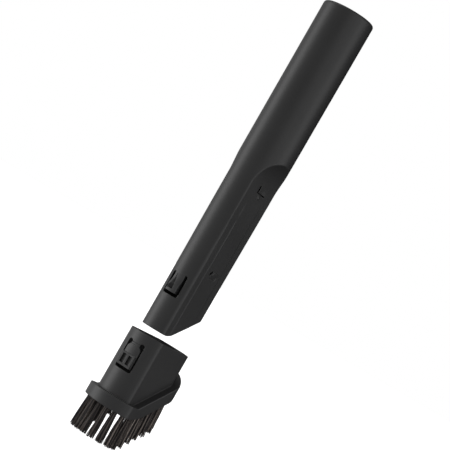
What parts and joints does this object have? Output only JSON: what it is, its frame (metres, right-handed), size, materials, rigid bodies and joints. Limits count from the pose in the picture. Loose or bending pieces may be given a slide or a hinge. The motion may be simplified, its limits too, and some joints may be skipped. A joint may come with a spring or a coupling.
{
  "type": "vacuum crevice tool with dusting brush",
  "caption": "Long crevice tool for a vacuum cleaner wand, with a slanted dusting brush that slides over its flat nozzle and a spring latch.",
  "frame": {"origin": "centre of the wand socket's mouth, at the tool's top end", "axes": "+Z along the tool's axis, out of the wand socket towards the vacuum cleaner; the latch and the button face -Y; the nozzle's flats face +X and -X"},
  "size_m": [0.0436, 0.0572, 0.3507],
  "materials": {
    "black_plastic": "satin moulded black plastic",
    "bristle": "dark brown bristle",
    "anchor_steel": "drawn wire"
  },
  "bodies": {
    "tube": {"crevice_tube": "black_plastic"},
    "latch": {"latch_tongue": "black_plastic"},
    "brush": {"brush_body": "black_plastic", "bristle_tuft_01": "bristle", "bristle_tuft_02": "bristle", "bristle_tuft_03": "bristle", "bristle_tuft_04": "bristle", "bristle_tuft_05": "bristle", "bristle_tuft_06": "bristle", "bristle_tuft_07": "bristle", "bristle_tuft_08": "bristle", "bristle_tuft_09": "bristle", "bristle_tuft_10": "bristle", "bristle_tuft_11": "bristle", "bristle_tuft_12": "bristle", "bristle_tuft_13": "bristle", "bristle_tuft_14": "bristle", "bristle_tuft_15": "bristle", "bristle_tuft_16": "bristle", "bristle_tuft_17": "bristle", "bristle_tuft_18": "bristle", "bristle_tuft_19": "bristle", "bristle_tuft_20": "bristle", "bristle_tuft_21": "bristle", "bristle_tuft_22": "bristle", "bristle_tuft_23": "bristle", "bristle_tuft_24": "bristle", "bristle_tuft_25": "bristle", "tuft_anchor_01": "anchor_steel", "tuft_anchor_02": "anchor_steel", "tuft_anchor_03": "anchor_steel", "tuft_anchor_04": "anchor_steel", "tuft_anchor_05": "anchor_steel", "tuft_anchor_06": "anchor_steel", "tuft_anchor_07": "anchor_steel", "tuft_anchor_08": "anchor_steel", "tuft_anchor_09": "anchor_steel", "tuft_anchor_10": "anchor_steel", "tuft_anchor_11": "anchor_steel", "tuft_anchor_12": "anchor_steel", "tuft_anchor_13": "anchor_steel", "tuft_anchor_14": "anchor_steel", "tuft_anchor_15": "anchor_steel", "tuft_anchor_16": "anchor_steel", "tuft_anchor_17": "anchor_steel", "tuft_anchor_18": "anchor_steel", "tuft_anchor_19": "anchor_steel", "tuft_anchor_20": "anchor_steel", "tuft_anchor_21": "anchor_steel", "tuft_anchor_22": "anchor_steel", "tuft_anchor_23": "anchor_steel", "tuft_anchor_24": "anchor_steel", "tuft_anchor_25": "anchor_steel"},
    "button": {"release_button": "black_plastic"}
  },
  "joints": [
    {"name": "brush_slide", "type": "slide", "parent": "tube", "child": "brush", "axis": [0, 0, 1], "range_m": [0, 0.135]},
    {"name": "latch_flex", "type": "hinge", "parent": "tube", "child": "latch", "pos_m": [0, -0.0179, -0.2203], "axis": [1, 0, 0], "range_deg": [0, 5], "stiffness_Nm_per_rad": 0.2},
    {"name": "button_press", "type": "hinge", "parent": "brush", "child": "button", "pos_m": [0, -0.0222, -0.2797], "axis": [1, 0, 0], "range_deg": [0, 3], "stiffness_Nm_per_rad": 0.2}
  ]
}
